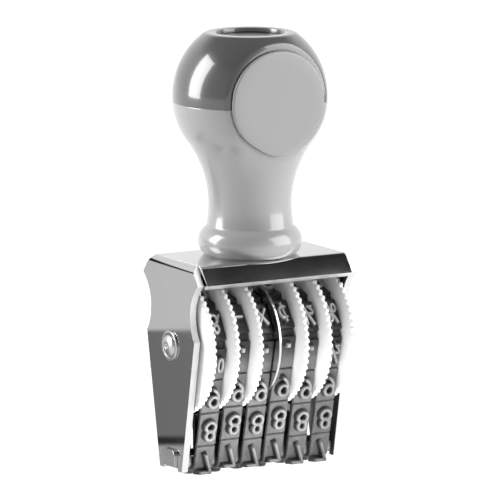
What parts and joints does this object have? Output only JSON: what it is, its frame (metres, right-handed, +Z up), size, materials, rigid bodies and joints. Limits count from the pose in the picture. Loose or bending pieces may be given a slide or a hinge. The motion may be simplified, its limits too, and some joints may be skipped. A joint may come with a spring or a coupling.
{
  "type": "numbering machine",
  "caption": "Hand stamp with thumb wheels and rubber type bands in a bent chrome frame under a two-tone knob handle.",
  "frame": {"origin": "middle of the footprint on the printing plane; the handle's axis and the axle lie 0.8 mm in front of it", "axes": "+X along the axle towards the right side plate, -Y towards the medallion, +Z up the handle"},
  "size_m": [0.0388, 0.0296, 0.0887],
  "materials": {
    "chrome_sheet": "bright chrome plate on bent sheet steel",
    "plated_steel": "zinc plated steel",
    "white_plastic": "moulded white plastic, satin",
    "type_rubber": "dark moulded rubber with rubbed character faces",
    "light_handle": "polished light grey plastic",
    "dark_cap": "polished dark grey plastic",
    "medallion_plastic": "satin light grey plastic, left bare",
    "recess_disc": "dark moulded disc, left bare",
    "insert_brass": "turned brass"
  },
  "bodies": {
    "root": {"frame": "chrome_sheet", "bridge": "plated_steel", "axle": "plated_steel", "axle_ring_left": "chrome_sheet", "axle_ring_right": "chrome_sheet", "side_washers": "plated_steel", "center_divider": "chrome_sheet", "band_1": "type_rubber", "band_2": "type_rubber", "band_3": "type_rubber", "band_4": "type_rubber", "band_5": "type_rubber", "band_6": "type_rubber", "handle_body": "light_handle", "handle_cap": "dark_cap", "medallion": "medallion_plastic", "top_disc": "recess_disc", "handle_screw": "plated_steel", "screw_washer": "plated_steel", "handle_insert": "insert_brass"},
    "wheel_1": {"wheel_1": "white_plastic"},
    "wheel_2": {"wheel_2": "white_plastic"},
    "wheel_3": {"wheel_3": "white_plastic"},
    "wheel_4": {"wheel_4": "white_plastic"},
    "wheel_5": {"wheel_5": "white_plastic"},
    "wheel_6": {"wheel_6": "white_plastic"}
  },
  "joints": [
    {"name": "wheel_1_spin", "type": "hinge", "parent": "root", "child": "wheel_1", "pos_m": [0, -0.0008, 0.0267], "axis": [1, 0, 0], "continuous": true},
    {"name": "wheel_2_spin", "type": "hinge", "parent": "root", "child": "wheel_2", "pos_m": [0, -0.0008, 0.0267], "axis": [1, 0, 0], "continuous": true},
    {"name": "wheel_3_spin", "type": "hinge", "parent": "root", "child": "wheel_3", "pos_m": [0, -0.0008, 0.0267], "axis": [1, 0, 0], "continuous": true},
    {"name": "wheel_4_spin", "type": "hinge", "parent": "root", "child": "wheel_4", "pos_m": [0, -0.0008, 0.0267], "axis": [1, 0, 0], "continuous": true},
    {"name": "wheel_5_spin", "type": "hinge", "parent": "root", "child": "wheel_5", "pos_m": [0, -0.0008, 0.0267], "axis": [1, 0, 0], "continuous": true},
    {"name": "wheel_6_spin", "type": "hinge", "parent": "root", "child": "wheel_6", "pos_m": [0, -0.0008, 0.0267], "axis": [1, 0, 0], "continuous": true}
  ]
}
